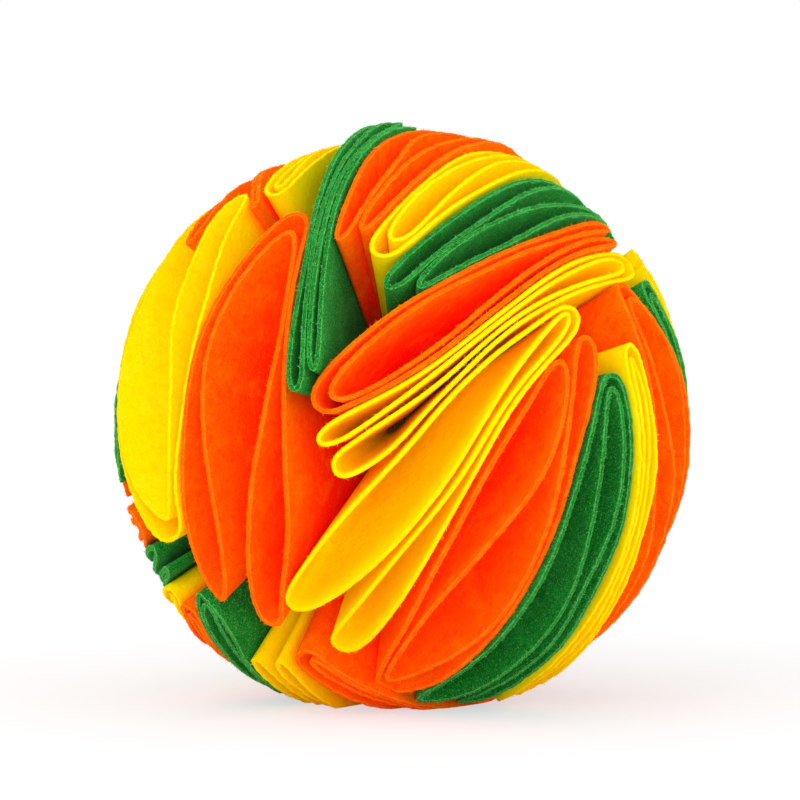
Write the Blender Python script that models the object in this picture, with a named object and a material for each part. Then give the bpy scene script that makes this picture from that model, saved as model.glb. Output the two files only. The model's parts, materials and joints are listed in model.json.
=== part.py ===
"""Snuffle ball: round felt discs, folded in four, with their tips tied together at the middle."""
import math

import bpy
import bmesh
import mathutils
import numpy as np

# Sizes, in metres
BALL_RADIUS = 0.075          # centre of the ball to the cut rim of a disc
FELT_THICKNESS = 0.0012      # one layer of felt, at the rim
FELT_CLEARANCE = 0.0003      # least air between two layers, at the rim
TIE_RADIUS = 0.0117          # ball of wound and knotted cord inside the tips
TIE_CLEARANCE = 0.0003       # air between the cord and the tips
TIE_CORD_DIAMETER = 0.002

# The lowest rims are pressed flat, which brings the centre this near to the ground
REST_HEIGHT_SHARE = 0.969
# How deep the groove between two turns of the tie cord is, of its diameter
GROOVE_SHARE = 0.3
TIE_TURNS = 12
TIE_SEGMENTS = 24

# Colours of the felt (red, green, blue) and its roughness
ORANGE, YELLOW, GREEN = "felt_orange", "felt_yellow", "felt_green"
FELT_COLOURS = {
    ORANGE: (1.0, 0.15, 0.004),
    YELLOW: (1.0, 0.70, 0.006),
    GREEN: (0.012, 0.24, 0.045),
}
FELT_ROUGHNESS = 0.95
CORD_COLOUR = (0.82, 0.80, 0.74)
CORD_ROUGHNESS = 0.85

# A folded disc shows four leaves in the ball's surface, D, A, B and C, in this order across.
# At one end (outer, inner) the folds lie inside one another: C-D round A-B.
# At the other end (twin, twin) they lie side by side: D-A and B-C.
# All places in a petal are angles in degrees seen from the ball's centre: along it for the ends,
# across it for the leaves, which are given at these stations along the petal.
STATIONS = (-40, -20, 0, 20, 40)
STATION_STEP = 20

CLOSE = ((-4, -5.5, -5.5, -5, -4.5), (-1.5, -2.5, -2, -1.5, -1.8),
         (1.2, 2, 1.6, 1.5, 1.8), (4, 5.5, 5.5, 5, 4.5))
OPEN = ((-4, -6, -7, -6.5, -5), (-1.5, -2.5, -1.5, -0.8, -1.8),
        (1.5, 2.6, 4, 3.5, 2), (4, 6, 7.5, 6.5, 5))
EVEN = ((-3.8, -4.8, -5, -4.5, -5), (-1.3, -1.8, -1.6, -1.5, -2.2),
        (1.2, 1.8, 1.6, 1.5, 2.2), (3.8, 4.8, 5, 4.6, 5))
WAVY = ((-4, -7, -5, -7.5, -5), (-1.5, -4, -1, -3, -1.8),
        (1.5, 0.5, 5, 2, 2), (4, 4, 8.5, 5.5, 5))

# name, felt, (azimuth, elevation, roll) of the middle, ends (outer, inner, twin, twin), leaves
PETALS = (
    ("orange_left", ORANGE, (-36, 4, -95), (-46, -41, 41, 44),
     ((-5.5, -11.5, -12, -13, -11), (-1.5, -9, -7.5, -4, -6),
      (1.5, 7.5, 7, 4, 2), (3, 8.5, 11.5, 13.5, 8))),
    ("yellow_centre", YELLOW, (9, -7, -128), (-46, -44, 44, 45),
     ((-2.5, -8.5, -11, -11.5, -8), (-1, -2.5, -1, -0.5, -2.5),
      (2.5, -0.5, 1.2, 2, 5), (5, 1.5, 4, 8, 10.5))),
    ("orange_band", ORANGE, (23, 34, 27), (-46, -42, 47, 43),
     ((5, 6.5, 5, 3.5, 3.5), (2.5, 4, 2.8, 1.5, 1.5),
      (-2.3, -4, -2.5, -0.9, -0.5), (-3.5, -6, -4.5, -3, -2.7))),
    ("yellow_band", YELLOW, (23, 23, -151), (-48, -43, 44, 45),
     ((-2.5, -4.5, -3.8, -2.7, -5.5), (-0.7, -3, -2, -0.8, -1.5),
      (3, 1, 0, 2, 0.5), (5.5, 3, 1.5, 4, 6))),
    ("green_top_right", GREEN, (55, 53, -176), (-45, -41, 45, 40),
     ((-4, -6, -6.6, -5.2, -4), (-2, -4, -3.3, -0.8, -0.4),
      (1.5, 2.5, 1.2, 0.8, 1.2), (3, 4.2, 5, 6.2, 4))),
    ("yellow_top_right", YELLOW, (60, 67, 4), (-44, -40, 44, 42),
     ((3.7, 4.6, 5, 4.5, 4), (2.5, 2.8, 2.3, 1.8, 1.3),
      (-1.6, -1.6, -0.8, -1, -1.2), (-3.4, -4.8, -5.5, -4.5, -3.8))),
    ("orange_top", ORANGE, (48, 77, -166), (-45, -41, 43, 39),
     ((-4, -6.5, -9.5, -7.8, -3.5), (-2, -4, -5.5, -1, 0),
      (1, 2.3, 0.8, 0.2, 1.6), (3, 4.5, 4.8, 5.3, 4.3))),
    ("green_top", GREEN, (-22, 53, -86), (-46, -42, 42, 38),
     ((-3.5, -3.2, -2.8, -2.2, -2.8), (-1.5, -1.6, -1.5, -0.7, -0.2),
      (1, 0.5, 0.2, 0.9, 1.4), (3.3, 2.8, 1.8, 2.8, 3.2))),
    ("yellow_top_left", YELLOW, (-161, 70, -140), (-45, -42, 43, 41),
     ((4.4, 4.5, 4.5, 5, 4.5), (1.4, 2, 1.5, 1.8, 1.5),
      (-1.7, -1, -1.5, -1.5, -1.5), (-4, -3.8, -4.2, -4.5, -4.2))),
    ("orange_top_left", ORANGE, (-136, 58, 16), (-45, -41, 42, 44),
     ((-4.5, -5, -4.5, -5.5, -11), (-1.8, -2, -1.8, -3, -8.5),
      (1.2, 1.2, 0.8, 2, 7), (3.8, 4.2, 3.5, 4.5, 10))),
    ("yellow_left", YELLOW, (-75, 17, 111), (-40, -36, 41, 33),
     ((3, 10.5, 13, 11, 13), (-1, 5.5, 8.5, 7.5, 10.5),
      (-6, -15.5, -17, -15.5, -15), (-8, -19.5, -25, -23, -18))),
    ("orange_centre", ORANGE, (23, -22, 69), (-46, -41, 40, 46),
     ((4.5, 10.3, 13, 11.4, 4.5), (2.5, 7.8, 5.5, 0, 0.8),
      (0, -6.5, -6, -2.8, -1.2), (-7, -9, -8, -6, -6.3))),
    ("green_right", GREEN, (42, -30, -97), (-43, -40, 43, 42),
     ((-4, -8.6, -10.3, -10, -10), (-2.3, -3, -0.3, -0.2, -5.5),
      (0.5, 3.7, 2.8, 5, 1.5), (3.5, 6.8, 7, 8.7, 6))),
    ("yellow_right", YELLOW, (56, -25, -84), (-43, -40, 42, 42),
     ((-2.5, -2.3, -3.4, -4.2, -4.5), (-1.4, -0.8, -2, -1.7, -1.5),
      (0.6, 1.1, -0.2, 1.2, 1.9), (2.5, 2.9, 2, 3.5, 4.7))),
    ("orange_right", ORANGE, (72, -11, -77), (-44, -40, 43, 42),
     ((-5, -9, -10, -6.5, -4.5), (-2.8, -5, -2.2, 3, -2),
      (0, 5.9, 9, 7, 3), (2.5, 9.4, 12, 10.5, 6))),
    ("green_bottom_left", GREEN, (-91, -68, -143), (-42, -39, 42, 40.5), EVEN),
    ("orange_bottom_left", ORANGE, (-112, -62, -165), (-38, -35, 38, 36.5), WAVY),
    ("yellow_bottom", YELLOW, (-149, -84, -21), (-42, -39, 42, 40.5), EVEN),
    ("orange_bottom", ORANGE, (46, -77, -2), (-41, -38, 41, 39.5),
     ((4, 7, 7.5, 5, 4.5), (1.5, 4, 4, 1.5, 1.8),
      (-1.2, 0.5, 1, -1.5, -1.8), (-4, -3, -2.5, -5, -4.5))),
    ("yellow_bottom_left", YELLOW, (-119, -48, -180), (-37, -34, 37, 35.5), WAVY),
    ("green_small_left", GREEN, (-117, -35, -3), (-41, -38, 41, 39.5), EVEN),
    ("orange_small_left", ORANGE, (-120, -21, 172), (-44, -41, 44, 42.5), EVEN),
    ("green_far_left", GREEN, (-113, 17, 139), (-39.5, -36.5, 39.5, 38), WAVY),
    ("orange_back_left", ORANGE, (-129, 4, 151), (-39, -36, 39, 37.5), OPEN),
    ("yellow_back_left", YELLOW, (-146, -2, 162), (-37, -34, 37, 35.5), WAVY),
    ("green_far_right", GREEN, (86, -12, -74), (-44, -41, 44, 42.5), CLOSE),
    ("yellow_far_right", YELLOW, (100, -6, 105), (-43, -40, 43, 41.5), OPEN),
    ("orange_back_right", ORANGE, (115, -8, -76), (-39, -36, 39, 37.5), WAVY),
    ("green_back_right", GREEN, (132, -1, 103), (-42, -39, 42, 40.5), CLOSE),
    ("yellow_back", YELLOW, (148, -2, -78), (-42, -39, 42, 40.5), OPEN),
    ("orange_back", ORANGE, (163, -10, 102), (-39, -36, 39, 37.5), WAVY),
    ("green_back", GREEN, (178, -9, -77), (-36, -32, 34, 31), OPEN),
)

# How far some rims stand out, of BALL_RADIUS; the others stand at 1
REACH_SHARES = {
    "green_top": 1.03, "orange_top": 1.02, "orange_top_left": 0.965, "yellow_top_left": 0.985,
    "green_top_right": 0.99, "orange_band": 0.985, "yellow_band": 0.98, "green_right": 1.015,
    "yellow_right": 1.03, "orange_right": 1.01, "yellow_bottom": 1.03, "orange_bottom": 1.02,
    "green_bottom_left": 1.03, "orange_bottom_left": 1.03, "yellow_bottom_left": 1.02,
}

# Points on a rim: along each leaf, and round each fold
LEAF_STEPS = 4
TURN_STEPS = 2
WIDE_TURN_STEPS = 3
WIDE_TURN = 2.5              # degrees, half the width of a fold that takes more steps
TIGHT_FOLD_SHARE = 0.56      # half the width of the tightest fold, of the layers' pitch
FOLD_TRIES = 3               # rounds in which the start of a fold is found
MITRE_LIMIT = 1.4            # longest corner of a layer, of half its thickness
TINY = 1e-6

# How the rims are settled: they open from thin strips to full size while they push each other off
SPARE_SHARE = 1.06           # pitch of the layers that is aimed at, of the least pitch
SETTLE_STEPS = 260
OPENING_SHARE = 0.6          # of the steps in which the petals open
STAGES = 14
FIRST_WIDTH_SHARE = 0.25
FIRST_LENGTH_SHARE = 0.72
RIM_SHARE = 0.98             # least length of a rim, of the flat disc's own rim
SEARCH_EVERY = 4
SEARCH_SHARE = 1.6           # how far pairs are looked for, of the pitch
AIM_SHARE = 1.03             # pitch that the pushes aim at, of the pitch
HOLD_SHARE = 0.6             # of the steps after the opening, in which the shape is still held
MOVE_SHARE = 0.4             # longest move in one step, of the pitch
PUSH = 0.6
PULL = 0.02
SMOOTHING = 0.15
RIM_PULL = 0.15


def unit(vectors):
    return vectors / np.linalg.norm(vectors, axis=-1, keepdims=True)


def petal_axes(azimuth, elevation, roll):
    """Directions from the ball's centre to a petal's middle, along it and across it."""
    az, el, turn = math.radians(azimuth), math.radians(elevation), math.radians(roll)
    middle = np.array([math.cos(el) * math.sin(az), -math.cos(el) * math.cos(az), math.sin(el)])
    east = np.array([math.cos(az), math.sin(az), 0.0])
    north = np.cross(east, middle)
    if north[2] < 0:
        north = -north
    along = math.cos(turn) * east + math.sin(turn) * north
    return middle, along, np.cross(middle, along)


def leaf_bends(values):
    """Second derivatives of the natural spline through a leaf's stations."""
    count = len(values)
    system = np.eye(count)
    right = np.zeros(count)
    for i in range(1, count - 1):
        system[i, i - 1:i + 2] = STATION_STEP, 4 * STATION_STEP, STATION_STEP
        right[i] = 6 * (values[i + 1] - 2 * values[i] + values[i - 1]) / STATION_STEP
    return np.linalg.solve(system, right)


def leaf_across(values, bends, place):
    """Angle across the petal of a leaf at a place along it; past the stations it runs on flatter."""
    step = STATION_STEP
    if place < STATIONS[0]:
        slope = (values[1] - values[0]) / step - step * (2 * bends[0] + bends[1]) / 6
        return values[0] + slope * (place - STATIONS[0]) / 2
    if place > STATIONS[-1]:
        slope = (values[-1] - values[-2]) / step + step * (bends[-2] + 2 * bends[-1]) / 6
        return values[-1] + slope * (place - STATIONS[-1]) / 2
    i = min(int((place - STATIONS[0]) // step), len(STATIONS) - 2)
    before, after = (STATIONS[i + 1] - place) / step, (place - STATIONS[i]) / step
    curve = (before ** 3 - before) * bends[i] + (after ** 3 - after) * bends[i + 1]
    return before * values[i] + after * values[i + 1] + curve * step * step / 6


def petal_rim(petal, pitch, width=1.0, length=1.0):
    """Unit vectors along the closed rim of one folded disc, at a share of its width and length."""
    _, _, pose, ends, leaves = petal
    middle, along, across = petal_axes(*pose)
    values = [tuple(width * v for v in leaf) for leaf in leaves]
    bends = [leaf_bends(leaf) for leaf in values]
    outer, inner, twin_1, twin_2 = (length * end for end in ends)
    tightest = math.degrees(pitch) * TIGHT_FOLD_SHARE

    def fold(end, side, p, q):
        """Where the fold between leaves p and q starts, its middle and its half width."""
        start = end
        for _ in range(FOLD_TRIES):
            at_p = leaf_across(values[p], bends[p], start)
            at_q = leaf_across(values[q], bends[q], start)
            half = max(abs(at_p - at_q) / 2, tightest)
            start = end - side * half
        return start, (at_p + at_q) / 2, half, 1 if at_p < at_q else -1

    fold_cd, fold_ab = fold(outer, -1, 3, 0), fold(inner, -1, 1, 2)
    fold_da, fold_bc = fold(twin_1, 1, 0, 1), fold(twin_2, 1, 2, 3)
    sides = {"cd": (3, 0, 0), "ab": (1, 2, 0), "da": (0, 1, -1), "bc": (2, 3, -1)}
    wide_mid = {key: abs(leaves[p][j] - leaves[q][j]) / 2 > WIDE_TURN for key, (p, q, j) in sides.items()}
    points = []

    def add_leaf(leaf, start, stop):
        for i in range(1, LEAF_STEPS):
            place = start + (stop - start) * i / LEAF_STEPS
            points.append((place, leaf_across(values[leaf], bends[leaf], place)))

    def add_fold(key, found, side):
        start, centre, half, way = found
        steps = WIDE_TURN_STEPS if wide_mid[key] else TURN_STEPS
        for i in range(steps + 1):
            angle = math.pi * i / steps
            points.append((start + side * half * math.sin(angle), centre - way * half * math.cos(angle)))

    add_leaf(0, fold_cd[0], fold_da[0])
    add_fold("da", fold_da, 1)
    add_leaf(1, fold_da[0], fold_ab[0])
    add_fold("ab", fold_ab, -1)
    add_leaf(2, fold_ab[0], fold_bc[0])
    add_fold("bc", fold_bc, 1)
    add_leaf(3, fold_bc[0], fold_cd[0])
    add_fold("cd", fold_cd, -1)
    u, v = np.radians(np.array(points)).T[:, :, None]
    return np.cos(v) * (np.cos(u) * middle + np.sin(u) * along) + np.sin(v) * across


class Rims:
    """The rims of all petals, as one list of points with their neighbours."""

    def __init__(self, petals, pitch):
        loops = [petal_rim(petal, pitch) for petal in petals]
        self.counts = np.array([len(loop) for loop in loops])
        self.starts = np.concatenate([[0], np.cumsum(self.counts)[:-1]])
        self.owner = np.repeat(np.arange(len(loops)), self.counts)
        self.number = np.concatenate([np.arange(n) for n in self.counts])
        start, count = self.starts[self.owner], self.counts[self.owner]
        self.after = start + (self.number + 1) % count
        self.before = start + (self.number - 1) % count

    def near(self, points, reach):
        """Pairs of a point and a rim piece that may come within reach of each other."""
        middles = unit(points + points[self.after])
        half = np.linalg.norm(points - middles, axis=1)
        apart = np.sqrt(np.maximum(2 - 2 * points @ middles.T, 0))
        i, j = np.nonzero(apart < half[None, :] + reach)
        count = self.counts[self.owner[j]]
        steps = np.abs(self.number[i] - self.number[j])
        steps_after = np.abs(self.number[i] - self.number[self.after[j]])
        steps = np.minimum(steps, count - steps)
        steps_after = np.minimum(steps_after, count - steps_after)
        same = self.owner[i] == self.owner[j]
        keep = ~(same & (np.minimum(steps, steps_after) <= 2))
        return i[keep], j[keep]

    def gaps(self, points, i, j):
        """For each pair: the share along the piece, the vector from piece to point, its length."""
        start, end = points[j], points[self.after[j]]
        run = end - start
        share = ((points[i] - start) * run).sum(1) / np.maximum((run * run).sum(1), TINY ** 2)
        share = np.clip(share, 0, 1)
        away = points[i] - unit(start + share[:, None] * run)
        return share, away, np.linalg.norm(away, axis=1)

    def push_apart(self, points, i, j, need):
        """Move points and pieces that are nearer than need away from each other."""
        share, away, gap = self.gaps(points, i, j)
        close = gap < need
        share, away, gap, i, j = share[close], away[close], gap[close], i[close], j[close]
        rest = 1 - share
        strength = PUSH * (need - gap) / np.maximum(gap, TINY) / (1 + share ** 2 + rest ** 2)
        push = strength[:, None] * away
        move = np.zeros_like(points)
        np.add.at(move, i, push)
        np.add.at(move, j, -push * rest[:, None])
        np.add.at(move, self.after[j], -push * share[:, None])
        size = np.linalg.norm(move, axis=1)
        limit = np.minimum(1, MOVE_SHARE * need / np.maximum(size, TINY))
        return unit(points + move * limit[:, None])


def settled_rims(petals, least_pitch):
    """The rims of all petals, opened from thin strips so that none crosses or touches another."""
    pitch = least_pitch * SPARE_SHARE
    rims = Rims(petals, pitch)
    widths = np.linspace(FIRST_WIDTH_SHARE, 1, STAGES)
    lengths = FIRST_LENGTH_SHARE + (1 - FIRST_LENGTH_SHARE) * widths
    stages = [np.concatenate([petal_rim(petal, pitch * width, width, length) for petal in petals])
              for width, length in zip(widths, lengths)]
    full_piece = np.linalg.norm(stages[-1][rims.after] - stages[-1], axis=1)
    full_length = np.bincount(rims.owner, full_piece)
    stretch = np.maximum(1, 2 * math.pi * RIM_SHARE / full_length)[rims.owner]
    opening = int(SETTLE_STEPS * OPENING_SHARE)
    points = wanted = stages[0]
    for step in range(SETTLE_STEPS):
        opened = min(1.0, step / opening)
        width = FIRST_WIDTH_SHARE + (1 - FIRST_WIDTH_SHARE) * opened
        stage = min(int(opened * (STAGES - 1)), STAGES - 2)
        part = opened * (STAGES - 1) - stage
        target = unit(stages[stage] * (1 - part) + stages[stage + 1] * part)
        points = unit(points + target - wanted)
        wanted = target
        need = pitch * width * AIM_SHARE
        if step % SEARCH_EVERY == 0:
            i, j = rims.near(points, need * SEARCH_SHARE)
        points = rims.push_apart(points, i, j, need)
        hold = max(0.0, 1 - max(0, step - opening) / ((SETTLE_STEPS - opening) * HOLD_SHARE))
        points = points + PULL * hold * (wanted - points)
        moved = points - wanted
        points = unit(points + SMOOTHING * hold * ((moved[rims.after] + moved[rims.before]) / 2 - moved))
        piece = points[rims.after] - points
        size = np.linalg.norm(piece, axis=1)
        short = np.maximum(0, full_piece * stretch * width / size - 1)[:, None]
        grow = RIM_PULL * hold * short * piece
        points = points - grow
        np.add.at(points, rims.after, grow)
        points = unit(points)
    i, j = rims.near(points, pitch * SEARCH_SHARE)
    gap = rims.gaps(points, i, j)[2].min()
    print("least pitch of the layers", round(float(gap / least_pitch), 3), "of the pitch needed")
    return [points[start:start + count] for start, count in zip(rims.starts, rims.counts)]


def felt_material(name, colour, roughness):
    material = bpy.data.materials.new(name)
    material.use_nodes = True
    shader = material.node_tree.nodes["Principled BSDF"]
    shader.inputs["Base Color"].default_value = (*colour, 1)
    shader.inputs["Roughness"].default_value = roughness
    shader.inputs["Metallic"].default_value = 0
    return material


def add_object(name, mesh, material, collection, parent):
    mesh.materials.append(material)
    obj = bpy.data.objects.new(name, mesh)
    obj.parent = parent
    collection.objects.link(obj)
    return obj


def folded_disc(petal, rim, material, collection, parent):
    """One felt disc: its layers run from the rim straight to the tip at the ball's centre."""
    name, _, pose = petal[:3]
    middle, along, across = petal_axes(*pose)
    half = FELT_THICKNESS / (2 * BALL_RADIUS)
    side_after = unit(np.cross(rim, np.roll(rim, -1, 0)))
    side_before = np.roll(side_after, 1, 0)
    mitre = unit(side_after + side_before)
    mitre = mitre * np.minimum(1 / (mitre * side_after).sum(1), MITRE_LIMIT)[:, None]
    reach = BALL_RADIUS * REACH_SHARES.get(name, 1)
    ground = BALL_RADIUS * REST_HEIGHT_SHARE
    tip = TIE_RADIUS + TIE_CLEARANCE
    rings = []
    for way in (unit(rim + half * mitre), unit(rim - half * mitre)):
        far = np.minimum(reach, ground / np.maximum(-way[:, 2], TINY))
        rings += [way * far[:, None], way * tip]
    world = np.concatenate(rings)
    local = world @ np.array([along, across, middle]).T
    count = len(rim)
    left_rim, left_tip, right_rim, right_tip = (np.arange(count) + count * k for k in range(4))
    faces = []
    for one, other in ((left_rim, right_rim), (right_rim, right_tip),
                       (right_tip, left_tip), (left_tip, left_rim)):
        for i in range(count):
            after = (i + 1) % count
            faces.append((int(one[i]), int(other[i]), int(other[after]), int(one[after])))
    mesh = bpy.data.meshes.new("felt_" + name)
    mesh.from_pydata([tuple(map(float, p)) for p in local], [], faces)
    shape = bmesh.new()
    shape.from_mesh(mesh)
    bmesh.ops.recalc_face_normals(shape, faces=shape.faces)
    shape.to_mesh(mesh)
    shape.free()
    disc = add_object("felt_" + name, mesh, material, collection, parent)
    turn = mathutils.Matrix([[float(axis[k]) for axis in (along, across, middle)] for k in range(3)])
    disc.rotation_euler = turn.to_euler()
    return disc


def tie(material, collection, parent):
    """The knotted cord inside the tips, drawn into a ball, with a groove between its turns."""
    mesh = bpy.data.meshes.new("tie_cord")
    shape = bmesh.new()
    bmesh.ops.create_uvsphere(shape, u_segments=TIE_SEGMENTS, v_segments=2 * TIE_TURNS, radius=TIE_RADIUS)
    groove = TIE_CORD_DIAMETER * GROOVE_SHARE
    for vert in shape.verts:
        row = round(vert.co.normalized().angle(mathutils.Vector((0, 0, 1))) / math.pi * 2 * TIE_TURNS)
        if row % 2:
            vert.co *= 1 - groove / TIE_RADIUS
    shape.to_mesh(mesh)
    shape.free()
    return add_object("tie_cord", mesh, material, collection, parent)


def main():
    for obj in list(bpy.data.objects):
        bpy.data.objects.remove(obj, do_unlink=True)
    collection = bpy.data.collections.new("felt_snuffle_ball")
    bpy.context.scene.collection.children.link(collection)
    centre = bpy.data.objects.new("ball_centre", None)
    centre.location = (0, 0, BALL_RADIUS * REST_HEIGHT_SHARE)
    collection.objects.link(centre)
    felts = {name: felt_material(name, colour, FELT_ROUGHNESS) for name, colour in FELT_COLOURS.items()}
    least_pitch = (FELT_THICKNESS + FELT_CLEARANCE) / BALL_RADIUS
    for petal, rim in zip(PETALS, settled_rims(PETALS, least_pitch)):
        folded_disc(petal, rim, felts[petal[1]], collection, centre)
    tie(felt_material("cord", CORD_COLOUR, CORD_ROUGHNESS), collection, centre)


main()
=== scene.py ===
"""Snuffle ball of folded felt discs: the felt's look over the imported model."""
import json
import math
from collections import namedtuple

import bmesh
import bpy
import numpy as np
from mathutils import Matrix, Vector

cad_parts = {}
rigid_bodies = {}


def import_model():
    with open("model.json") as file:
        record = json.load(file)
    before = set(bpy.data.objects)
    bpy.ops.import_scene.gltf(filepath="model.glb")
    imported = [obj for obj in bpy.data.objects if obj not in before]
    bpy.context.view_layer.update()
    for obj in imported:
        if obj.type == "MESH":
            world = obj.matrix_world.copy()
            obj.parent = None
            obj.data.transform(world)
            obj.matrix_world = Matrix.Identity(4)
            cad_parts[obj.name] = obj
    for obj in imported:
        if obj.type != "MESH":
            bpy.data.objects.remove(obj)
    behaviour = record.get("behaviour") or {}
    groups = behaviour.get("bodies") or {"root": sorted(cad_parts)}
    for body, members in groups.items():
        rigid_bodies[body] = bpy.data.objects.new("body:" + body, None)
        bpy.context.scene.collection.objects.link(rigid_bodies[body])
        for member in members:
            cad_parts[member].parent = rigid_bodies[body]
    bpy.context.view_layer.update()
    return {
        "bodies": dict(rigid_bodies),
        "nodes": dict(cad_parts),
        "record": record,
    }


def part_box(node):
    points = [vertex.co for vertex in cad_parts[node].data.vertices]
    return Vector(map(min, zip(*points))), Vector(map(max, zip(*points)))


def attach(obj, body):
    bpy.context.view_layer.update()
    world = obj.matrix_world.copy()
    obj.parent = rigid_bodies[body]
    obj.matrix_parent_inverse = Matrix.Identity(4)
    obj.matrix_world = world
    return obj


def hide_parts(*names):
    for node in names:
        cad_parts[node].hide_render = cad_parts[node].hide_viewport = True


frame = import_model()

# Sizes, in metres
RADIUS = 0.075               # of the ball, and of each flat disc
THICKNESS = 0.0012           # of one layer of felt, at the rim
PITCH_GAP = 0.00022          # least air between two layers at the rim
TIP = 0.0121                 # from the centre to the inner end of the felt
CENTRE = np.array((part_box("tie_cord")[0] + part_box("tie_cord")[1]) / 2)
GROUND = -CENTRE[2]          # the floor's height, from the centre

# The photo's frame
IMAGE = 800
RADIUS_PX = 287.4
CENTRE_PX = (402.0, 421.5)
TILT = math.radians(5.0)
LENS_DISTANCE = 1.9
RIGHT = np.array((1.0, 0.0, 0.0))
UP = np.array((0.0, math.sin(TILT), math.cos(TILT)))
BACK = np.array((0.0, -math.cos(TILT), math.sin(TILT)))    # towards the lens


def unit(vectors):
    return vectors / np.linalg.norm(vectors, axis=-1, keepdims=True)


def sides(loop):
    """Across the felt at each point of a closed rim."""
    return unit(np.cross(loop, np.roll(loop, -1, 0) - np.roll(loop, 1, 0)))


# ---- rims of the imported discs

MICROMETRES = 1e6            # vertices are told apart to one of them
OUTER_SHARE = 0.5            # of the radius, beyond which a vertex belongs to the rim


def walk(links, first):
    """The closed loop that the linked vertices make."""
    loop, last, here = [first], None, first
    while True:
        step = [n for n in links[here] if n != last]
        if not step:
            return loop
        last, here = here, step[0]
        if here == first:
            return loop
        loop.append(here)


def rim_of(node):
    """Directions of the middle of the felt along the closed rim of a packed disc, and its reach."""
    mesh = frame["nodes"][node].data
    raw = np.array([v.co[:] for v in mesh.vertices]) - CENTRE
    _, first, index = np.unique(np.round(raw * MICROMETRES).astype(np.int64), axis=0,
                                return_index=True, return_inverse=True)
    index = np.ravel(index)
    points = raw[first]
    far = np.linalg.norm(points, axis=1)
    outer = far > OUTER_SHARE * RADIUS
    links = {}
    for poly in mesh.polygons:
        ring = [int(index[v]) for v in poly.vertices]
        if all(outer[v] for v in ring):
            continue
        for a, b in zip(ring, ring[1:] + ring[:1]):
            if a != b and outer[a] and outer[b]:
                links.setdefault(a, set()).add(b)
                links.setdefault(b, set()).add(a)
    one = walk(links, min(links))
    rest = [v for v in links if v not in set(one)]
    two = walk(links, min(rest))
    a, b = points[one], points[two]
    if len(a) != len(b):
        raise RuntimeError(node + ": the two sides of the rim differ")
    best = None
    for way in (b, b[::-1]):
        for k in range(len(b)):
            rolled = np.roll(way, k, 0)
            cost = np.linalg.norm(a - rolled, axis=1).sum()
            if best is None or cost < best[0]:
                best = (cost, rolled)
    return unit(unit(a) + unit(best[1])), float(far.max())


def smooth(loop, long_steps, short_steps, long_piece):
    """A closed curve through the loop's points, with more steps to a piece past long_piece, in radians."""
    count = len(loop)
    out = []
    for i in range(count):
        p0, p1, p2, p3 = (loop[(i + k) % count] for k in (-1, 0, 1, 2))
        gap = [max(np.linalg.norm(b - a), 1e-6) ** 0.5 for a, b in ((p0, p1), (p1, p2), (p2, p3))]
        t0, t1 = 0.0, gap[0]
        t2 = t1 + gap[1]
        t3 = t2 + gap[2]
        steps = long_steps if np.linalg.norm(p2 - p1) > long_piece else short_steps
        for k in range(steps):
            t = t1 + (t2 - t1) * k / steps
            a1 = (t1 - t) / (t1 - t0) * p0 + (t - t0) / (t1 - t0) * p1
            a2 = (t2 - t) / (t2 - t1) * p1 + (t - t1) / (t2 - t1) * p2
            a3 = (t3 - t) / (t3 - t2) * p2 + (t - t2) / (t3 - t2) * p3
            b1 = (t2 - t) / (t2 - t0) * a1 + (t - t0) / (t2 - t0) * a2
            b2 = (t3 - t) / (t3 - t1) * a2 + (t - t1) / (t3 - t1) * a3
            out.append((t2 - t) / (t2 - t1) * b1 + (t - t1) / (t2 - t1) * b2)
    return unit(np.array(out))


BATCHES = 12                 # in which neighbours are looked for, to spare memory
OWN_RIM = 2.4                # of the reach: nearer than this along one rim, two places are no pair
PUSH_SHARE = 0.6             # of the room that is missing, made up in one step
LONGEST_PUSH = 0.3           # of the room needed, in one step


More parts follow.
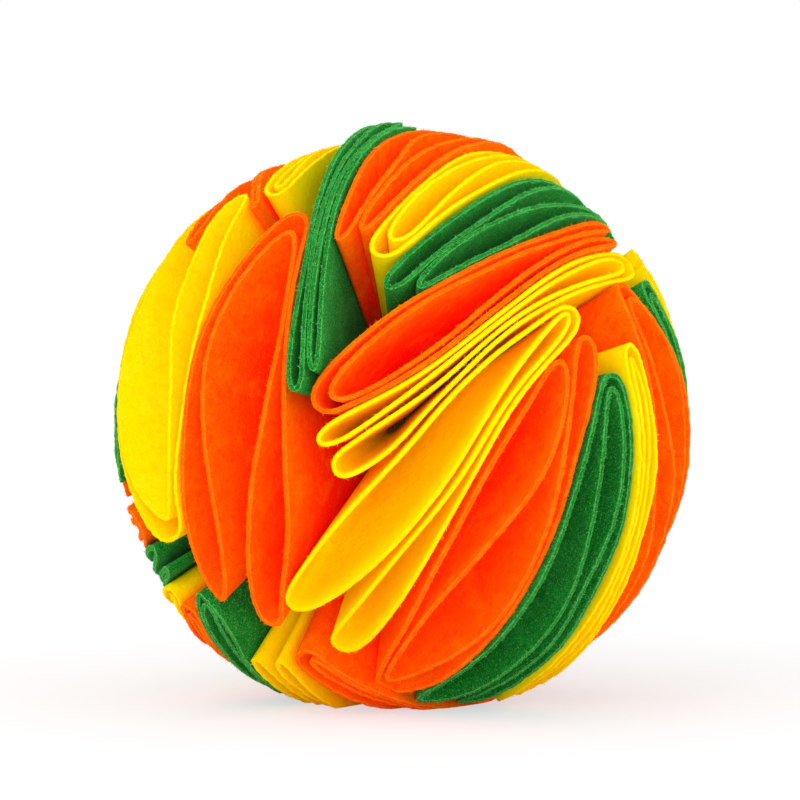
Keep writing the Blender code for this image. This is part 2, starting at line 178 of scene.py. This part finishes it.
class Rims:
    """The rims of all discs, as one list of points with their neighbours."""

    def __init__(self, loops):
        self.counts = np.array([len(loop) for loop in loops])
        starts = np.concatenate([[0], np.cumsum(self.counts)[:-1]])
        number = np.concatenate([np.arange(n) for n in self.counts])
        self.owner = np.repeat(np.arange(len(loops)), self.counts)
        start, count = starts[self.owner], self.counts[self.owner]
        self.after = start + (number + 1) % count
        self.before = start + (number - 1) % count

    def near(self, points, reach):
        """Points, and the pieces of rim within reach of them that aren't their own neighbours."""
        middles = unit(points + points[self.after])
        half = np.linalg.norm(points - middles, axis=1)
        pieces = np.linalg.norm(points[self.after] - points, axis=1)
        along = np.concatenate([[0], np.cumsum(pieces)[:-1]])
        total = np.bincount(self.owner, pieces)[self.owner]
        pairs_i, pairs_j = [], []
        for rows in np.array_split(np.arange(len(points)), BATCHES):
            dots = points[rows] @ middles.T
            i, j = np.nonzero(dots > np.cos(half + reach)[None, :])
            i = rows[i]
            far = np.abs(along[i] - along[j])
            far = np.minimum(far, total[i] - far)
            keep = (self.owner[i] != self.owner[j]) | (far > OWN_RIM * reach)
            pairs_i.append(i[keep])
            pairs_j.append(j[keep])
        return np.concatenate(pairs_i), np.concatenate(pairs_j)

    def push_apart(self, points, i, j, need):
        """One step that moves point i and piece j away from each other where they are closer than need."""
        start, end = points[j], points[self.after[j]]
        run = end - start
        share = ((points[i] - start) * run).sum(1) / np.maximum((run * run).sum(1), 1e-12)
        share = np.clip(share, 0, 1)
        away = points[i] - unit(start + share[:, None] * run)
        gap = np.linalg.norm(away, axis=1)
        close = gap < need
        share, away, gap, i, j = share[close], away[close], gap[close], i[close], j[close]
        rest = 1 - share
        amount = (need - gap) / np.maximum(gap, 1e-6) / (1 + share ** 2 + rest ** 2)
        push = PUSH_SHARE * amount[:, None] * away
        move = np.zeros_like(points)
        np.add.at(move, i, push)
        np.add.at(move, j, -push * rest[:, None])
        np.add.at(move, self.after[j], -push * share[:, None])
        size = np.linalg.norm(move, axis=1)
        cut = np.minimum(1, LONGEST_PUSH * need / np.maximum(size, 1e-9))
        return unit(points + move * cut[:, None]), int(close.sum())


WAVES = 6                    # sines of one wavelength, give or take, that are added up
WAVE_SUM = 3.2               # brings their sum to between about -1 and 1


def wave(length, wavelength, seed, octaves=2):
    """Smooth closed noise along a rim of that many points, between about -1 and 1."""
    draw = np.random.default_rng(seed)
    place = np.linspace(0, 2 * math.pi, length, endpoint=False)
    out = np.zeros(length)
    for octave in range(octaves):
        turns = 2 * math.pi * RADIUS / wavelength * 2 ** octave
        for _ in range(WAVES):
            n = max(1, int(round(turns * draw.uniform(0.6, 1.4))))
            out += draw.uniform(0.5, 1) * np.sin(n * place + draw.uniform(0, 2 * math.pi)) / 2 ** octave
    return out / WAVE_SUM


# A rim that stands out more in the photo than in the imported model
REACH_MORE = {"felt_orange_top_left": 1.03}

# Small shifts of the soft rims towards the places that they have in the photo, right and down
Nudge = namedtuple("Nudge", "disc at_px by_px reach_px")
NUDGES = (
    Nudge("felt_green_top_right", at_px=(395, 276), by_px=(-3, 9), reach_px=16),
    Nudge("felt_green_top_right", at_px=(428, 275), by_px=(-4, 9), reach_px=12),
    Nudge("felt_green_top_right", at_px=(470, 262), by_px=(0, 3), reach_px=12),
    Nudge("felt_green_top_right", at_px=(515, 240), by_px=(0, 5), reach_px=12),
    Nudge("felt_yellow_top_right", at_px=(381, 245), by_px=(-7, 8), reach_px=10),
    Nudge("felt_yellow_top_right", at_px=(402, 226), by_px=(2, 4), reach_px=9),
    Nudge("felt_orange_top", at_px=(342, 232), by_px=(0, 4), reach_px=14),
    Nudge("felt_orange_top", at_px=(368, 224), by_px=(-1, 5), reach_px=10),
    Nudge("felt_orange_band", at_px=(338, 388), by_px=(-3, 4), reach_px=9),
    Nudge("felt_orange_band", at_px=(380, 377), by_px=(2, 5), reach_px=14),
    Nudge("felt_orange_band", at_px=(420, 352), by_px=(2, 5), reach_px=14),
    Nudge("felt_orange_band", at_px=(460, 325), by_px=(2, 5), reach_px=16),
    Nudge("felt_orange_band", at_px=(505, 297), by_px=(1, 4), reach_px=16),
    Nudge("felt_yellow_band", at_px=(325, 435), by_px=(-6, 4), reach_px=9),
    Nudge("felt_yellow_band", at_px=(345, 438), by_px=(-1, 5), reach_px=7),
    Nudge("felt_yellow_band", at_px=(338, 466), by_px=(0, 4), reach_px=10),
    Nudge("felt_yellow_band", at_px=(372, 452), by_px=(4, 8), reach_px=11),
    Nudge("felt_yellow_band", at_px=(400, 430), by_px=(4, 8), reach_px=11),
    Nudge("felt_yellow_centre", at_px=(440, 421), by_px=(-2, -3), reach_px=12),
    Nudge("felt_yellow_centre", at_px=(470, 393), by_px=(-3, -5), reach_px=14),
    Nudge("felt_yellow_centre", at_px=(505, 360), by_px=(-3, -5), reach_px=16),
    Nudge("felt_orange_centre", at_px=(558, 372), by_px=(-3, -5), reach_px=14),
    Nudge("felt_orange_centre", at_px=(588, 346), by_px=(-3, -5), reach_px=10),
    Nudge("felt_orange_left", at_px=(272, 470), by_px=(5, 0), reach_px=70),
    Nudge("felt_yellow_left", at_px=(170, 400), by_px=(5, 0), reach_px=40),
    Nudge("felt_yellow_left", at_px=(205, 290), by_px=(6, 0), reach_px=25),
    Nudge("felt_yellow_left", at_px=(245, 197), by_px=(3, 2), reach_px=12),
    Nudge("felt_orange_top_left", at_px=(184, 243), by_px=(9, 3), reach_px=14),
    Nudge("felt_orange_top_left", at_px=(253, 202), by_px=(1, 5), reach_px=10),
    Nudge("felt_green_bottom_left", at_px=(240, 634), by_px=(10, -4), reach_px=7),
    Nudge("felt_orange_left", at_px=(206, 420), by_px=(3, 0), reach_px=22),
    Nudge("felt_orange_left", at_px=(283, 430), by_px=(4, 0), reach_px=20),
    Nudge("felt_orange_left", at_px=(250, 530), by_px=(3, 0), reach_px=20),
    Nudge("felt_yellow_centre", at_px=(295, 607), by_px=(-1, -5), reach_px=10),
    Nudge("felt_yellow_centre", at_px=(340, 647), by_px=(0, -4), reach_px=9),
)


def photo_place(way):
    """Where points on the ball's surface show in the photo, in pixels."""
    near = LENS_DISTANCE / (LENS_DISTANCE - RADIUS * (way @ BACK))
    return np.stack([CENTRE_PX[0] + RADIUS_PX * (way @ RIGHT) * near,
                     CENTRE_PX[1] - RADIUS_PX * (way @ UP) * near], 1)


def nudged(node, loop):
    for nudge in NUDGES:
        if nudge.disc == node:
            off = photo_place(loop) - np.array(nudge.at_px)
            share = np.exp(-(off ** 2).sum(1) / (2 * nudge.reach_px ** 2)) * (loop @ BACK > 0)
            shift = (nudge.by_px[0] * RIGHT - nudge.by_px[1] * UP) / RADIUS_PX
            loop = unit(loop + share[:, None] * shift)
    return loop


# How the rims are rounded, waved and settled
COARSE_PIECE = math.radians(5)
FINE_PIECE = math.radians(1.2)
SIDE_WAVE = 0.0022           # height of the waves in the surface, in radians
SIDE_WAVELENGTH = 0.045
SIDE_SEED = 100
SETTLE_STEPS = 90
SEARCH_EVERY = 6             # steps between two searches for neighbours
SEARCH_REACH = 1.5           # of the room needed
SPARE_ROOM = 1.02
SOFTEN_STEPS = 14            # the first steps also even the rims out
SOFTEN_SHARE = 0.1

DISCS = sorted(name for name in frame["nodes"] if name.startswith("felt_"))
waved, reaches = [], []
for k, node in enumerate(DISCS):
    rim, reach = rim_of(node)
    reaches.append(reach * REACH_MORE.get(node, 1))
    loop = nudged(node, smooth(rim, 5, 2, COARSE_PIECE))
    sway = SIDE_WAVE * wave(len(loop), SIDE_WAVELENGTH, SIDE_SEED + k)
    waved.append(unit(loop + sides(loop) * sway[:, None]))
rims = Rims(waved)
points = np.concatenate(waved)
need = (THICKNESS + PITCH_GAP) / RADIUS
for step in range(SETTLE_STEPS):
    if step % SEARCH_EVERY == 0:
        i, j = rims.near(points, need * SEARCH_REACH)
    points, close = rims.push_apart(points, i, j, need * SPARE_ROOM)
    if step < SOFTEN_STEPS:
        middle = (points[rims.after] + points[rims.before]) / 2
        points = unit(points + SOFTEN_SHARE * (middle - points))
print("layers still close:", close)
loops = [smooth(loop, 4, 3, FINE_PIECE) for loop in np.split(points, np.cumsum(rims.counts)[:-1])]


# ---- felt sheets

# The cut edge, from one side of the felt to the other: across in half thicknesses, and up in thicknesses
PROFILE = ((1.0, -0.32), (0.97, -0.13), (0.84, -0.02), (0.5, 0.02), (-0.5, 0.02), (-0.84, -0.02),
           (-0.97, -0.13), (-1.0, -0.32))
CORNER = (0.97, 0.13)        # the corner's place in PROFILE, across and down
CORNER_LIGHT_WIDTH = 0.00045         # how far the painted light line reaches from a corner of the cut edge
ROWS = 13                    # from the tip to the cut edge
ROW_SPREAD = 0.8             # below 1, the rows stand closer near the cut edge
LAST_ROW = 0.6               # thicknesses below the cut edge
RIPPLE = 0.0016              # sideways, in radians, of the faces between tip and rim
RIM_WAVE, RIM_WAVELENGTH = 0.0006, 0.07      # of the cut rim's height
NICK, NICK_LENGTH = 0.00009, 0.006
ROUGH_CUT = 0.00006


def height_of(count, reach, seed):
    """Distance of the cut rim from the centre at each point: hand cut, and not all folds stand alike."""
    return (reach + RIM_WAVE * wave(count, RIM_WAVELENGTH, seed) + NICK * wave(count, NICK_LENGTH, seed + 1)
            + ROUGH_CUT * np.random.default_rng(seed + 2).standard_normal(count))


def new_mesh(name, verts, corners, starts):
    mesh = bpy.data.meshes.new(name)
    mesh.vertices.add(len(verts))
    mesh.vertices.foreach_set("co", verts.astype(np.float32).ravel())
    mesh.loops.add(len(corners))
    mesh.loops.foreach_set("vertex_index", corners.astype(np.int32))
    mesh.polygons.add(len(starts))
    mesh.polygons.foreach_set("loop_start", starts.astype(np.int32))
    mesh.update(calc_edges=True)
    return mesh


def new_object(name, data):
    obj = bpy.data.objects.new(name, data)
    bpy.context.scene.collection.objects.link(obj)
    return obj


def make_sheet(name, loop, reach, seed):
    """A disc's folded sheet with its thickness. Also gives the way across the felt and the rim's height."""
    count = len(loop)
    side = sides(loop)
    half = THICKNESS / (2 * RADIUS)
    height = height_of(count, reach, seed)
    last = height - LAST_ROW * THICKNESS
    fractions = [(k / ROWS) ** ROW_SPREAD for k in range(ROWS)]
    rows = [(1.0, TIP + (last - TIP) * part, part) for part in fractions]
    rows += [(w, height + up * THICKNESS, 1.0) for w, up in PROFILE]
    rows += [(-1.0, TIP + (last - TIP) * part, part) for part in reversed(fractions)]
    ripple_a = wave(count, 0.04, seed + 3, 1)
    ripple_b = wave(count, 0.03, seed + 4, 1)
    verts, edge, depth = [], [], []
    for w, distance, part in rows:
        shift = RIPPLE * (ripple_a * math.sin(math.pi * part) + ripple_b * math.sin(2 * math.pi * part))
        way = unit(loop + side * (half * w + shift)[:, None])
        far = np.minimum(distance, GROUND / np.minimum(way[:, 2], -1e-6))
        verts.append(CENTRE + way * far[:, None])
        if abs(w) < CORNER[0]:
            off = np.full(count, (CORNER[0] - abs(w)) * THICKNESS / 2)
        else:
            off = np.abs(height - distance - CORNER[1] * THICKNESS)
        edge.append(np.clip(1 - off / CORNER_LIGHT_WIDTH, 0, 1))
        depth.append((height - distance) / RADIUS)
    base = np.arange(count)
    after = (base + 1) % count
    faces = []
    for r in range(len(rows)):
        s = (r + 1) % len(rows)
        faces.append(np.stack([base + r * count, after + r * count, after + s * count, base + s * count], 1))
    faces = np.concatenate(faces)
    mesh = new_mesh(name, np.concatenate(verts), faces.ravel(), np.arange(0, faces.size, 4))
    mesh.validate()
    mesh.polygons.foreach_set("use_smooth", np.ones(len(faces), bool))
    for attribute, values in (("edge", edge), ("depth", depth)):
        layer = mesh.attributes.new(attribute, "FLOAT", "POINT")
        layer.data.foreach_set("value", np.concatenate(values).astype(np.float32))
    obj = new_object(name, mesh)
    shape = bmesh.new()
    shape.from_mesh(mesh)
    bmesh.ops.recalc_face_normals(shape, faces=shape.faces)
    shape.to_mesh(mesh)
    shape.free()
    return obj, side, height


# Loose fibres
FIBRES_PER_MM = 8.0
FIBRE_LENGTH, FIBRE_MORE = 0.00030, 0.00075      # the shortest, and how much longer the longest is
FIBRE_WIDTH = (0.00003, 0.00008)                 # half of it, from and to
FIBRE_ROOT = 0.00012                             # below the cut edge
FIBRE_ON_SIDE = 0.0006                           # how far down the sides they still grow
FIBRE_BEND = (0.12, 0.35)                        # of the length, at the knee and at the tip
KNEE = 0.55                                      # of the length
FLOOR_GAP = 0.00002


def make_fuzz(name, loop, side, height, seed):
    """Loose fibres that stand out of the cut rim, as thin blades, most of them at its corners."""
    draw = np.random.default_rng(seed)
    count = len(loop)
    piece = np.linalg.norm(np.roll(loop, -1, 0) - loop, axis=1) * RADIUS
    wanted = int(piece.sum() * 1000 * FIBRES_PER_MM)
    place = draw.choice(count, wanted, p=piece / piece.sum())
    part = draw.random(wanted)
    after = (place + 1) % count
    way = unit(loop[place] * (1 - part)[:, None] + loop[after] * part[:, None])
    flank = unit(side[place])
    tangent = unit(np.cross(flank, way))
    far = height[place] * (1 - part) + height[after] * part
    across = draw.choice((-1, 1), wanted) * (1 - 0.9 * draw.random(wanted) ** 2.5)
    half = THICKNESS / 2
    root = way * (far - FIBRE_ROOT - FIBRE_ON_SIDE * np.abs(across) ** 4 * draw.random(wanted))[:, None] \
        + flank * (across * half * 0.95)[:, None]
    lean = way * draw.uniform(0.15, 1.0, wanted)[:, None] \
        + flank * (across * 0.7 + draw.normal(0, 0.45, wanted))[:, None] \
        + tangent * draw.normal(0, 0.8, wanted)[:, None]
    lean = unit(lean)
    long = (FIBRE_LENGTH + FIBRE_MORE * draw.random(wanted) ** 2.5)[:, None]
    curl = unit(np.cross(lean, draw.normal(size=(wanted, 3))))
    wide = draw.uniform(*FIBRE_WIDTH, wanted)[:, None] * unit(np.cross(lean, curl))
    mid = root + lean * long * KNEE + curl * long * FIBRE_BEND[0]
    tip = root + lean * long + curl * long * FIBRE_BEND[1]
    world = np.stack([root - wide, root + wide, mid + wide * 0.8, mid - wide * 0.8, tip], 1) + CENTRE
    world[:, :, 2] = np.maximum(world[:, :, 2], FLOOR_GAP)
    base = np.arange(wanted) * 5
    quads = np.stack([base, base + 1, base + 2, base + 3], 1)
    tris = np.stack([base + 3, base + 2, base + 4], 1)
    starts = np.concatenate([np.arange(wanted) * 4, wanted * 4 + np.arange(wanted) * 3])
    mesh = new_mesh(name, world.reshape(-1, 3), np.concatenate([quads.ravel(), tris.ravel()]), starts)
    return new_object(name, mesh)


# ---- materials

def srgb(r, g, b):
    return tuple((c / 12.92 if c <= 0.04045 else ((c + 0.055) / 1.055) ** 2.4)
                 for c in (r / 255, g / 255, b / 255)) + (1.0,)


def new_material(name):
    """A material with nodes, and its tree and shader."""
    mat = bpy.data.materials.new(name)
    mat.use_nodes = True
    return mat, mat.node_tree, mat.node_tree.nodes["Principled BSDF"]


# One colour serves the flecks and also paints the light that the cut corners catch: paler on the orange and
# green, a little deeper on the yellow.
Felt = namedtuple("Felt", "face inner pale dark line fibre line_share speckle grain sheen")
# Deep in the pockets each felt turns to a painted shade: redder on the orange, darker on the green, and a
# painted lighter tone on the yellow.
FELT_TONES = {
    "felt_orange": Felt(face=srgb(255, 101, 0), inner=srgb(255, 40, 0), pale=srgb(255, 122, 2),
                        dark=srgb(255, 54, 0), line=srgb(255, 146, 40), fibre=srgb(255, 138, 32),
                        line_share=0.45, speckle=0.40, grain=0.00012, sheen=0.0),
    "felt_yellow": Felt(face=srgb(255, 222, 0), inner=srgb(255, 247, 0), pale=srgb(255, 229, 18),
                        dark=srgb(255, 204, 0), line=srgb(255, 206, 24), fibre=srgb(255, 208, 30),
                        line_share=0.60, speckle=0.36, grain=0.00012, sheen=0.0),
    "felt_green": Felt(face=srgb(0, 122, 32), inner=srgb(0, 88, 18), pale=srgb(22, 150, 54),
                       dark=srgb(0, 72, 16), line=srgb(112, 200, 104), fibre=srgb(110, 205, 120),
                       line_share=0.55, speckle=0.55, grain=0.00020, sheen=0.25),
}
POCKET_SHADING_DEPTH = (0.02, 0.40)   # shares of the radius below the rim between which the face turns into the painted pocket shading
SOFTNESS = 0.0008            # how far light spreads in the felt
CREASE = 0.0005              # height of the faint creases


def felt_material(name, tones):
    """Pressed felt: mottled and flecked, with painted light along its cut corners, broken up, and painted
    shading deeper in its pockets.
    """
    mat, tree, shader = new_material(name)
    nodes, links = tree.nodes, tree.links
    shader.inputs["Roughness"].default_value = 0.95
    shader.inputs["Specular IOR Level"].default_value = 0.0
    shader.inputs["Subsurface Weight"].default_value = 0.5
    shader.inputs["Subsurface Radius"].default_value = (1.0, 0.7, 0.3)
    shader.inputs["Subsurface Scale"].default_value = SOFTNESS
    shader.inputs["Sheen Weight"].default_value = tones.sheen
    shader.inputs["Sheen Roughness"].default_value = 0.5
    shader.inputs["Sheen Tint"].default_value = tones.line
    where = nodes.new("ShaderNodeTexCoord")

    def noise(scale, detail, rough=0.6, distort=0.0):
        tex = nodes.new("ShaderNodeTexNoise")
        tex.inputs["Scale"].default_value = scale
        tex.inputs["Detail"].default_value = detail
        tex.inputs["Roughness"].default_value = rough
        tex.inputs["Distortion"].default_value = distort
        links.new(where.outputs["Object"], tex.inputs["Vector"])
        return tex.outputs["Fac"]

    def span(source, low, high, first=0.0, last=1.0):
        node = nodes.new("ShaderNodeMapRange")
        node.interpolation_type = "SMOOTHSTEP"
        links.new(source, node.inputs["Value"])
        for socket, value in (("From Min", low), ("From Max", high), ("To Min", first), ("To Max", last)):
            node.inputs[socket].default_value = value
        return node.outputs["Result"]

    def attribute(key):
        node = nodes.new("ShaderNodeAttribute")
        node.attribute_name = key
        return node.outputs["Fac"]

    def times(a, b):
        node = nodes.new("ShaderNodeMath")
        node.operation = "MULTIPLY"
        links.new(a, node.inputs[0])
        links.new(b, node.inputs[1])
        return node.outputs["Value"]

    def mix(factor, a, b):
        node = nodes.new("ShaderNodeMix")
        node.data_type = "RGBA"
        links.new(factor, node.inputs["Factor"])
        for socket, value in ((node.inputs["A"], a), (node.inputs["B"], b)):
            if isinstance(value, tuple):
                socket.default_value = value
            else:
                links.new(value, socket)
        return node.outputs["Result"]

    def bump(source, distance, under=None):
        node = nodes.new("ShaderNodeBump")
        node.inputs["Strength"].default_value = 0.5
        node.inputs["Distance"].default_value = distance
        links.new(source, node.inputs["Height"])
        if under:
            links.new(under, node.inputs["Normal"])
        return node.outputs["Normal"]

    # painted shade towards the tip, deep in the pockets: redder orange, darker green, lighter yellow
    colour = mix(span(attribute("depth"), *POCKET_SHADING_DEPTH), tones.face, tones.inner)
    # mottling: pale and dark clouds, a centimetre and some millimetres wide
    colour = mix(span(noise(110, 6, 0.65), 0.46, 0.64, 0, 0.60), colour, tones.pale)
    colour = mix(span(noise(380, 4, 0.7), 0.46, 0.66, 0, 0.45), colour, tones.dark)
    # flecks: single fibres
    colour = mix(span(noise(2600, 3, 0.7, 0.7), 0.50, 0.66, 0, tones.speckle), colour, tones.line)
    colour = mix(span(noise(1700, 2, 0.6, 0.5), 0.52, 0.68, 0, tones.speckle), colour, tones.dark)
    # the painted light along the cut corners, broken up
    corner_light_mask = times(attribute("edge"), span(noise(2300, 2, 0.7, 0.4), 0.3, 0.7, 0.5, 1.3))
    colour = mix(span(corner_light_mask, 0.45, 0.95, 0, tones.line_share), colour, tones.line)
    links.new(colour, shader.inputs["Base Color"])
    creases = bump(noise(230, 5, 0.6, 1.5), CREASE)
    links.new(bump(noise(1500, 6, 0.7, 1.0), tones.grain, creases), shader.inputs["Normal"])
    return mat


def fibre_material(name, colour):
    mat, _, shader = new_material(name)
    shader.inputs["Base Color"].default_value = colour
    shader.inputs["Roughness"].default_value = 0.9
    shader.inputs["Specular IOR Level"].default_value = 0.0
    return mat


felts = {slot: felt_material(slot, tones) for slot, tones in FELT_TONES.items()}
fibres = {slot: fibre_material(slot.replace("felt", "fibre"), tones.fibre)
          for slot, tones in FELT_TONES.items()}

# ---- the discs, each as a sheet and its loose fibres

SHEET_SEED, SEEDS_PER_SHEET = 1000, 10
FUZZ_SEED = 5000
slot_of = {row["node"]: row["material_slot"] for row in frame["record"]["subparts"]}
root = next(iter(frame["bodies"]))
for k, (node, loop, reach) in enumerate(zip(DISCS, loops, reaches)):
    slot = slot_of[node]
    sheet, side, height = make_sheet("cloth_" + node, loop, reach, SHEET_SEED + SEEDS_PER_SHEET * k)
    sheet.data.materials.append(felts[slot])
    fuzz = make_fuzz("fuzz_" + node, loop, side, height, FUZZ_SEED + k)
    fuzz.data.materials.append(fibres[slot])
    for piece in (sheet, fuzz):
        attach(piece, root)
    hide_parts(node)

# ---- the tie cord inside keeps its solid, with a twisted cord's look

cord, tree, shader = new_material("twisted_cord")
nodes, links = tree.nodes, tree.links
where = nodes.new("ShaderNodeTexCoord")
twist = nodes.new("ShaderNodeTexWave")
twist.inputs["Scale"].default_value = 420
twist.inputs["Distortion"].default_value = 2.0
links.new(where.outputs["Object"], twist.inputs["Vector"])
tone = nodes.new("ShaderNodeValToRGB")
tone.color_ramp.elements[0].color = srgb(150, 100, 40)
tone.color_ramp.elements[1].color = srgb(205, 160, 85)
links.new(twist.outputs["Fac"], tone.inputs["Fac"])
links.new(tone.outputs["Color"], shader.inputs["Base Color"])
shader.inputs["Roughness"].default_value = 0.85
dent = nodes.new("ShaderNodeBump")
dent.inputs["Distance"].default_value = 0.0003
links.new(twist.outputs["Fac"], dent.inputs["Height"])
links.new(dent.outputs["Normal"], shader.inputs["Normal"])
tie = frame["nodes"]["tie_cord"]
if tie.material_slots:
    tie.material_slots[0].material = cord
else:
    tie.data.materials.append(cord)


# ---- floor, light and camera

FLOOR_RADIUS = 1.6
FLOOR_SIDES = 64
FLOOR_WHITE = 0.6            # share of plain white in the floor that the camera sees
WORLD_LIGHT = 0.97
WHITE = (1, 1, 1, 1)


def maths(tree, operation, a, b):
    """A math node over one socket, and another socket or a number."""
    node = tree.nodes.new("ShaderNodeMath")
    node.operation = operation
    tree.links.new(a, node.inputs[0])
    if isinstance(b, float):
        node.inputs[1].default_value = b
    else:
        tree.links.new(b, node.inputs[1])
    return node.outputs["Value"]


def blended(tree, share, first, second, target):
    node = tree.nodes.new("ShaderNodeMixShader")
    tree.links.new(share, node.inputs["Fac"])
    tree.links.new(first, node.inputs[1])
    tree.links.new(second, node.inputs[2])
    tree.links.new(node.outputs["Shader"], target)


turns = [2 * math.pi * k / FLOOR_SIDES for k in range(FLOOR_SIDES)]
floor_mesh = bpy.data.meshes.new("floor")
floor_mesh.from_pydata([(FLOOR_RADIUS * math.cos(t), FLOOR_RADIUS * math.sin(t), 0) for t in turns],
                       [], [tuple(range(FLOOR_SIDES))])
floor = new_object("floor", floor_mesh)
white, tree, paint = new_material("white_floor")
paint.inputs["Base Color"].default_value = (0.92, 0.92, 0.92, 1)
paint.inputs["Roughness"].default_value = 0.9
paint.inputs["Specular IOR Level"].default_value = 0.0
glow = tree.nodes.new("ShaderNodeEmission")
glow.inputs["Color"].default_value = WHITE
glow.inputs["Strength"].default_value = 1.0
path = tree.nodes.new("ShaderNodeLightPath")
share = maths(tree, "MULTIPLY", path.outputs["Is Camera Ray"], FLOOR_WHITE)
blended(tree, share, paint.outputs["BSDF"], glow.outputs["Emission"],
        tree.nodes["Material Output"].inputs["Surface"])
floor_mesh.materials.append(white)

world = bpy.data.worlds.new("studio")
bpy.context.scene.world = world
world.use_nodes = True
tree = world.node_tree
light = tree.nodes["Background"]
light.inputs["Color"].default_value = WHITE
light.inputs["Strength"].default_value = WORLD_LIGHT
seen = tree.nodes.new("ShaderNodeBackground")
seen.inputs["Color"].default_value = WHITE
seen.inputs["Strength"].default_value = 1.0
path = tree.nodes.new("ShaderNodeLightPath")
share = maths(tree, "MAXIMUM", path.outputs["Is Camera Ray"], path.outputs["Is Glossy Ray"])
share = maths(tree, "MAXIMUM", share, path.outputs["Is Transmission Ray"])
blended(tree, share, light.outputs["Background"], seen.outputs["Background"],
        tree.nodes["World Output"].inputs["Surface"])


def soft_sun(name, azimuth, elevation, strength, angle):
    """A wide, soft sun from a direction; azimuth 0 is the camera's side, to the right is positive."""
    az, el = math.radians(azimuth), math.radians(elevation)
    toward = Vector((math.cos(el) * math.sin(az), -math.cos(el) * math.cos(az), math.sin(el)))
    data = bpy.data.lights.new(name, "SUN")
    data.energy = strength
    data.angle = math.radians(angle)
    obj = new_object(name, data)
    obj.location = Vector(CENTRE) + toward
    obj.rotation_euler = toward.to_track_quat("Z", "Y").to_euler()


soft_sun("sun_left", azimuth=-45, elevation=45, strength=0.7, angle=50)
soft_sun("sun_front", azimuth=5, elevation=4, strength=0.9, angle=24)
soft_sun("sun_right", azimuth=60, elevation=30, strength=0.3, angle=50)

SENSOR_MM = 36.0
metres_per_px = RADIUS / RADIUS_PX
camera_data = bpy.data.cameras.new("camera")
camera_data.sensor_width = SENSOR_MM
camera_data.lens = SENSOR_MM * LENS_DISTANCE / (IMAGE * metres_per_px)
camera_data.clip_end = 100
camera = new_object("camera", camera_data)
aim = Vector(CENTRE) + Vector(RIGHT) * (IMAGE / 2 - CENTRE_PX[0]) * metres_per_px \
    + Vector(UP) * (CENTRE_PX[1] - IMAGE / 2) * metres_per_px
camera.location = aim + Vector(BACK) * LENS_DISTANCE
camera.rotation_euler = Vector(BACK).to_track_quat("Z", "Y").to_euler()
bpy.context.scene.camera = camera

bpy.context.scene.view_settings.view_transform = "Standard"

# The pockets are lit by light that goes back and forth between the bright layers
LIGHT_BOUNCES = 24
bpy.context.scene.cycles.max_bounces = LIGHT_BOUNCES
bpy.context.scene.cycles.diffuse_bounces = LIGHT_BOUNCES
